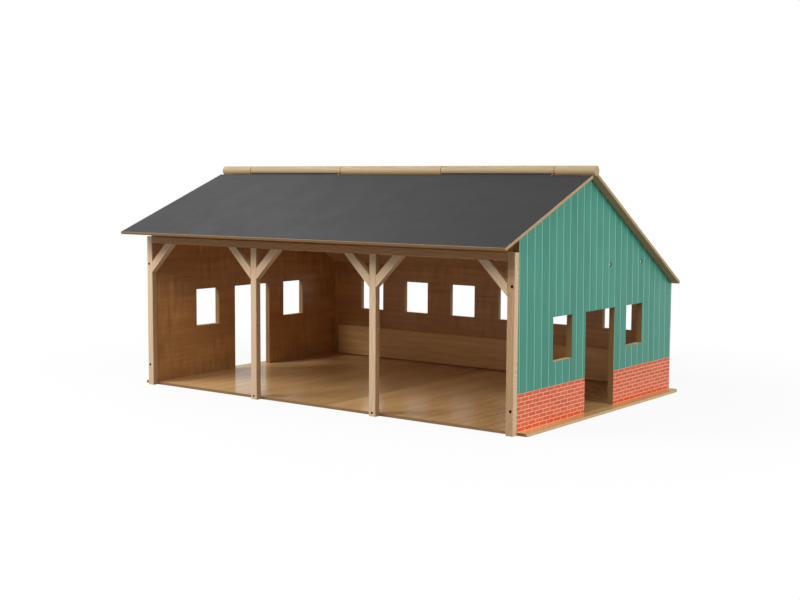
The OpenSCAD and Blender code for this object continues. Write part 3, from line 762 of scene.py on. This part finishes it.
def nail_profile(head, tip):
    """A nail's radius and height from its crown to its tip, with fine rings below the head."""
    shank = head * 0.47
    ring_count, ring_depth, ring_step, first_ring = 24, 0.05 * MM, 0.35 * MM, 2 * MM
    crown = [(head * 0.9, 0), (head, 0.15 * MM), (head, 0.35 * MM), (shank, 1.2 * MM)]
    rings = [(shank - ring_depth * (step % 2), first_ring + step * ring_step)
             for step in range(ring_count)]
    return crown + rings + [(shank, 12 * MM), (shank, tip - 2 * MM), (shank * 0.15, tip)]


def axis_of(points, world_axis=None):
    """A solid's long axis: its middle and a unit direction, the strongest one of its points unless
    a world axis is given."""
    if world_axis:
        return (points.min(axis=0) + points.max(axis=0)) / 2, np.array(world_axis, float)
    middle = points.mean(axis=0)
    return middle, np.linalg.svd(points - middle)[2][0]


def measured_along(points, middle, axis):
    """How far each point lies along an axis from its middle, and how far away from the axis."""
    along = (points - middle) @ axis
    return along, np.linalg.norm(points - middle - along[:, None] * axis, axis=1)


def headed_place(points, world_axis=None):
    """Where a screw or nail sits: its rim's centre, the way that it points, its head's radius and
    how far its tip and its crown lie from the rim."""
    middle, axis = axis_of(points, world_axis)
    along, away = measured_along(points, middle, axis)
    rim = along[np.argmax(away)]
    if along.max() - rim < rim - along.min():
        axis, along, rim = -axis, -along, -rim
    return middle + axis * rim, axis, away.max(), along.max() - rim, rim - along.min()


def stand_along(points, origin, axis):
    """Points round +Z turned and moved, so that they stand at the origin along the axis."""
    z = np.array(axis, float)
    x = unit(np.cross(np.eye(3)[np.argmin(np.abs(z))], z))
    return points @ np.array([x, np.cross(z, x), z]) + origin


def joined_mesh(node, shapes):
    """One mesh of several shapes, each a pair of points and faces, all facing outwards."""
    points, faces = [], []
    for shape_points, shape_faces in shapes:
        start = sum(len(p) for p in points)
        points.append(shape_points)
        faces += [[start + index for index in face] for face in shape_faces]
    mesh = bpy.data.meshes.new(node + "_finish")
    mesh.from_pydata(np.vstack(points).tolist(), [], faces)
    shape = bmesh.new()
    shape.from_mesh(mesh)
    bmesh.ops.recalc_face_normals(shape, faces=shape.faces)
    shape.to_mesh(mesh)
    shape.free()
    mesh.shade_smooth()
    mesh.set_sharp_from_angle(angle=math.radians(38))
    return mesh


def peg_shapes(node, flutes=0, flute_depth=0.0, axis=None):
    """Straight pegs where a CAD node has them, with eased ends and, on a dowel, its long flutes."""
    shapes = []
    for points in solids_of(node):
        middle, direction = axis_of(points, axis)
        along, away = measured_along(points, middle, direction)
        radius, low, high = away.max(), along.min(), along.max()
        ease = radius * 0.24
        run = np.linspace(0, math.pi / 2, 5)
        start = np.stack([radius - ease + ease * np.sin(run), ease - ease * np.cos(run)], axis=-1)
        profile = np.vstack([start, start[::-1] * (1, -1) + (0, high - low)])

        def fluted(turn, height, size, full=radius):
            """Less radius in each of the flutes, away from the eased ends."""
            groove = np.clip(np.cos(turn * flutes) * 3 - 2, 0, 1)
            return size - groove * flute_depth * (size > full * 0.999)

        sides = 6 * flutes if flutes else 40
        made, faces = turned_surface(profile, sides, fluted if flutes else None)
        shapes.append((stand_along(made, middle + direction * low, direction), faces))
    return shapes


# ---- pieces ----


class SHED_OT_floor_plate(Operator):
    """Lacquered floor plate with sawn edges"""

    bl_idname = "shed.floor_plate"
    bl_label = "Floor plate"

    def execute(self, context):
        # The plate's front face takes the edge tone darkened as painted shade.
        eased_piece("floor_plate", context.scene.shed_sizes.board_easing, (0, 1, 0),
                    ["floor_edge", "floor_lacquer", "board_back", "front_edge"],
                    [(0, 0, 1), (0, 0, -1), (0, -1, 0)],
                    seed=0.2, pith=(0.31, 0.05))
        return {"FINISHED"}


class SHED_OT_gable_walls(Operator):
    """Gable walls, painted outside and veneered inside"""

    bl_idname = "shed.gable_walls"
    bl_label = "Gable walls"

    def execute(self, context):
        easing = context.scene.shed_sizes.board_easing
        # The right gable's forward faces, its jambs and front edge, take a darker edge tone as painted
        # shade.
        walls = ((-1, "left_gable_wall", "wall_edge"), (1, "right_gable_wall", "jamb_edge"))
        # Each gable's hole walls take painted shade.
        for side, node, jamb in walls:
            # The upward faces, such as the window sills, take the light floor edge tone as painted
            # light.
            eased_piece(node, easing, (0, 1, 0),
                        ["wall_edge", "painted_wall", "brown_veneer", "floor_edge", jamb],
                        [(side, 0, 0), (-side, 0, 0), (0, 0, 1), (0, -1, 0)],
                        seed=0.4 + side, pith=(0.11, 0.21), paint_bore_shade=True)
        return {"FINISHED"}


class SHED_OT_rear_wall(Operator):
    """Rear wall and the board along its foot"""

    bl_idname = "shed.rear_wall"
    bl_label = "Rear wall"

    def execute(self, context):
        easing = context.scene.shed_sizes.board_easing
        # The rear wall's upward faces and right end take the light floor edge tone as painted light.
        eased_piece("rear_wall", easing, (1, 0, 0),
                    ["wall_edge", "brown_veneer", "brown_veneer", "floor_edge", "floor_edge"],
                    [(0, -1, 0), (0, 1, 0), (0, 0, 1), (1, 0, 0)],
                    seed=2.2, pith=(0.17, 0.13))
        eased_piece("rear_foot_board", easing, (1, 0, 0), ["foot_board_veneer"],
                    seed=3.1, pith=(0.09, 0.17))
        return {"FINISHED"}


class SHED_OT_front_frame(Operator):
    """Posts, lintel, knee braces and tie beams"""

    bl_idname = "shed.front_frame"
    bl_label = "Front frame"

    def execute(self, context):
        easing = context.scene.shed_sizes.stick_easing
        uprights = ["left_corner_post", "left_middle_post", "right_middle_post", "right_corner_post"]
        levels = ["front_lintel", "front_tie_beam", "rear_tie_beam"]
        rising = ["left_corner_brace", "left_post_right_brace", "right_post_right_brace"]
        falling = ["left_post_left_brace", "right_post_left_brace", "right_corner_brace"]
        groups = ((uprights, (0, 0, 1)), (levels, (1, 0, 0)),
                  (rising, (1, 0, 1)), (falling, (-1, 0, 1)))
        sticks = [(node, direction) for nodes, direction in groups for node in nodes]
        for count, (node, direction) in enumerate(sticks, 1):
            # Each stick is cut from another place beside the pith.
            pith = (0.012 + 0.007 * (count % 4), 0.018 + 0.005 * (count % 3))
            # The sides of the posts and braces, and the right corner post's front, take beech darkened
            # as painted shade.
            woods, faces = ["beech"], []
            if node == "right_corner_post":
                woods, faces = ["figured_beech", "brown_beech"], [(0, -1, 0)]
            elif node.endswith(("post", "brace")):
                woods, faces = ["beech", "brown_beech", "brown_beech"], [(1, 0, 0), (-1, 0, 0)]
            elif node == "front_lintel":
                # The lintel takes wood darkened as painted shade of the eave.
                woods = ["lintel_wood"]
            # The posts' hole walls take painted shade.
            eased_piece(node, easing, direction, woods, faces,
                        seed=5 + count, pith=pith, paint_bore_shade=node in uprights)
        return {"FINISHED"}


class SHED_OT_roof_panels(Operator):
    """Roof panels: grey film above, bare board below, sawn edges"""

    bl_idname = "shed.roof_panels"
    bl_label = "Roof panels"

    def execute(self, context):
        for node in ("front_roof_panel", "rear_roof_panel"):
            up = panel_normal(node)
            forwards = (0, -up[2], up[1])
            # The forward edge of each panel takes the edge tone darkened as painted shade.
            eased_piece(node, context.scene.shed_sizes.board_easing, (1, 0, 0),
                        ["roof_edge", "slate_film", "board_back", "front_edge"],
                        [up, -up, forwards], seed=30)
        return {"FINISHED"}


class SHED_OT_ridge_knuckles(Operator):
    """Round wooden knuckles along the ridge"""

    bl_idname = "shed.ridge_knuckles"
    bl_label = "Ridge knuckles"

    def execute(self, context):
        easing = context.scene.shed_sizes.knuckle_easing
        for number in range(1, 6):
            eased_piece(f"ridge_knuckle_{number}", easing, (1, 0, 0), ["turned_wood"],
                        seed=40 + 3 * number, pith=(0.004 * number, 0.009))
        return {"FINISHED"}


class SHED_OT_pins_and_dowels(Operator):
    """Steel hinge pins and fluted wooden dowels"""

    bl_idname = "shed.pins_and_dowels"
    bl_label = "Pins and dowels"

    def execute(self, context):
        pins = joined_mesh("hinge_pins", peg_shapes("hinge_pins", axis=(1, 0, 0)))
        keep(pins, "hinge_pins", ["zinc_plate"])
        for node in ("rear_wall_dowels", "frame_dowels"):
            mesh = joined_mesh(node, peg_shapes(node, flutes=12, flute_depth=0.12 * MM))
            store_grain(mesh, (1, 0, 0), 60)
            keep(mesh, node, ["peg_wood"])
        return {"FINISHED"}


class SHED_OT_screws(Operator):
    """Wood screws with cross recesses and threads"""

    bl_idname = "shed.screws"
    bl_label = "Wood screws"

    def execute(self, context):
        sizes = context.scene.shed_sizes
        # The corner post screws sit deep in their holes and take zinc darkened as painted shade.
        kinds = (("corner_post_screws", (0, 1, 0), 17, "dull_zinc_plate"),
                 ("floor_screws", (0, 0, 1), 17, "zinc_plate"),
                 ("rear_roof_screws", None, 17, "zinc_plate"),
                 ("tie_beam_screws", (1, 0, 0), 25, "zinc_plate"))
        for node, world_axis, cells, plate in kinds:
            shapes = []
            for solid in solids_of(node):
                origin, axis, head, tip, crown = headed_place(solid, world_axis)
                points, faces = screw_surface(head, tip, max(crown, 0.0), cells,
                                              sizes.thread_pitch, sizes.thread_depth)
                shapes.append((stand_along(points, origin, axis), faces))
            keep(joined_mesh(node, shapes), node, [plate])
        return {"FINISHED"}


class SHED_OT_nails(Operator):
    """Nails through the feet of the middle posts"""

    bl_idname = "shed.nails"
    bl_label = "Foot nails"

    def execute(self, context):
        node, shapes = "post_foot_nails", []
        for solid in solids_of(node):
            origin, axis, head, tip, _ = headed_place(solid)
            points, faces = turned_surface(nail_profile(head, tip), 32)
            shapes.append((stand_along(points, origin, axis), faces))
        # The nails take zinc darkened as painted shade.
        keep(joined_mesh(node, shapes), node, ["dull_zinc_plate"])
        return {"FINISHED"}


# ---- stage ----


# Each lamp's place, the point that it looks at and the length of its sides.
LAMPS = {
    "front_lamp": ((-1.1, -1.3, 1.35), (-0.1, -0.2, 0.15), 0.9),
    "fill_lamp": ((0.9, -2.1, 1.85), (0.0, 0.0, 0.1), 1.0),
    "side_lamp": ((2.2, 0.0, 1.1), (0.2, 0.0, 0.15), 1.2),
    "top_lamp": ((-1.3, 0.3, 1.7), (-0.1, 0.0, 0.3), 1.0),
}


class SHED_OT_stage(Operator):
    """Camera, lamps, even sky and a pale floor"""

    bl_idname = "shed.stage"
    bl_label = "Stage"

    def execute(self, context):
        stage = context.scene.shed_stage
        context.scene.view_settings.view_transform = "Standard"
        place_camera(context.scene, stage)
        for name, (place, target, side) in LAMPS.items():
            place_lamp(context.scene, name, place, target, side, getattr(stage, name))
        light_sky(context.scene, stage)
        lay_ground(context.scene, context.scene.shed_colours.ground)
        return {"FINISHED"}


def turned_to(right, up, back):
    """The turn of a camera or lamp whose own axes look those ways."""
    return Matrix(np.array([right, up, back]).T.tolist()).to_4x4()


def place_camera(scene, stage):
    """A camera that looks along the turn, tilt and roll."""
    yaw, pitch, roll = stage.yaw, stage.pitch, stage.roll
    level = np.array([math.cos(yaw), math.sin(yaw), 0.0])
    inward = np.array([-math.sin(yaw), math.cos(yaw), 0.0])
    ahead = inward * math.cos(pitch) - np.array([0.0, 0.0, math.sin(pitch)])
    above = np.cross(level, ahead)
    right = level * math.cos(roll) + above * math.sin(roll)
    up = -level * math.sin(roll) + above * math.cos(roll)
    data = bpy.data.cameras.new("camera")
    data.lens = stage.lens
    data.sensor_width = 36.0
    data.clip_start = 0.05
    data.clip_end = 50.0
    camera = bpy.data.objects.new("camera", data)
    camera.matrix_world = Matrix.Translation(stage.place) @ turned_to(right, up, -ahead)
    scene.collection.objects.link(camera)
    scene.camera = camera


def place_lamp(scene, name, place, target, side, watts):
    """A soft square lamp that looks at a point."""
    data = bpy.data.lights.new(name, "AREA")
    data.size = side
    data.energy = watts
    lamp = bpy.data.objects.new(name, data)
    back = unit(np.array(place) - np.array(target))
    right = unit(np.cross((0, 0, 1), back))
    lamp.matrix_world = Matrix.Translation(place) @ turned_to(right, np.cross(back, right), back)
    scene.collection.objects.link(lamp)


def ray_kinds(tree):
    """Two masks: 1 for a ray straight from the camera, and 1 for one off a shiny or clear surface."""
    path = add(tree, "LightPath").outputs
    shiny = calc(tree, "MAXIMUM", path["Is Glossy Ray"], path["Is Transmission Ray"])
    return path["Is Camera Ray"], shiny


def light_sky(scene, stage):
    """An even sky that looks white to the camera."""
    world = bpy.data.worlds.new("sky")
    world.use_nodes = True
    tree = world.node_tree
    background = tree.nodes["Background"]
    background.inputs["Color"].default_value = (1, 1, 1, 1)
    seen, shiny = ray_kinds(tree)
    white = calc(tree, "MAXIMUM", seen, calc(tree, "MULTIPLY", shiny, stage.mirrored_sky))
    strength = add(tree, "MapRange", white, 0.0, 1.0, stage.sky, 1.0).outputs[0]
    tree.links.new(strength, background.inputs["Strength"])
    scene.world = world


def lay_ground(scene, tone):
    """A floor that turns to the sky's white away from the shed and keeps a faint shadow. Its tone
    is what lights the shed from below, and the camera sees a paler one."""
    half, near, far = 12.0, 0.5, 1.0
    white_near, seen_tone = 0.9, Color((0.8, 0.8, 0.8))
    mesh = bpy.data.meshes.new("ground")
    mesh.from_pydata([(-half, -half, 0), (half, -half, 0), (half, half, 0), (-half, half, 0)], [],
                     [(0, 1, 2, 3)])
    ground = bpy.data.objects.new("ground", mesh)
    scene.collection.objects.link(ground)
    material, tree, shader = new_material("ground_paper", 0.9, specular=0.1)
    seen, shiny = ray_kinds(tree)
    tree.links.new(blend(tree, seen, tone, seen_tone), shader.inputs["Base Color"])
    place = add(tree, "TexCoord").outputs["Object"]
    away = add(tree, "VectorMath", place, operation="LENGTH").outputs["Value"]
    white_share = calc(tree, "MULTIPLY", fade(tree, away, near, far, white_near, 1.0),
                       calc(tree, "MAXIMUM", seen, shiny))
    white = add(tree, "Emission", (1, 1, 1, 1), 1.0).outputs[0]
    mixed = add(tree, "MixShader", white_share, shader.outputs[0], white)
    tree.links.new(mixed.outputs[0], tree.nodes["Material Output"].inputs["Surface"])
    mesh.materials.append(material)


class SHED_PT_panel(Panel):
    """Lists the shed's pieces, sizes, colours and stage"""

    bl_idname = "SHED_PT_panel"
    bl_label = "Farm Shed"
    bl_space_type = "VIEW_3D"
    bl_region_type = "UI"
    bl_category = "Farm Shed"

    def draw(self, context):
        column = self.layout.column()
        for step in STEPS:
            column.operator(step.bl_idname)
        for group in (context.scene.shed_sizes, context.scene.shed_colours, context.scene.shed_stage):
            for name in group.__annotations__:
                column.prop(group, name)


STEPS = (SHED_OT_stage, SHED_OT_floor_plate, SHED_OT_gable_walls, SHED_OT_rear_wall,
         SHED_OT_front_frame, SHED_OT_roof_panels, SHED_OT_ridge_knuckles, SHED_OT_pins_and_dowels,
         SHED_OT_screws, SHED_OT_nails)
GROUPS = (("shed_sizes", ShedSizes), ("shed_colours", ShedColours), ("shed_stage", StageSettings))


def register():
    """Registers every class and puts the settings on the scene."""
    for _, group in GROUPS:
        bpy.utils.register_class(group)
    for step in (*STEPS, SHED_PT_panel):
        bpy.utils.register_class(step)
    for name, group in GROUPS:
        setattr(bpy.types.Scene, name, PointerProperty(type=group))


def unregister():
    """Takes back what register did."""
    for name, _ in GROUPS:
        delattr(bpy.types.Scene, name)
    for step in (*STEPS, SHED_PT_panel):
        bpy.utils.unregister_class(step)
    for _, group in GROUPS:
        bpy.utils.unregister_class(group)


def main():
    """Registers the classes and builds everything: the stage and each piece."""
    register()
    for step in STEPS:
        family, name = step.bl_idname.split(".")
        getattr(getattr(bpy.ops, family), name)()


if __name__ == "__main__":
    main()
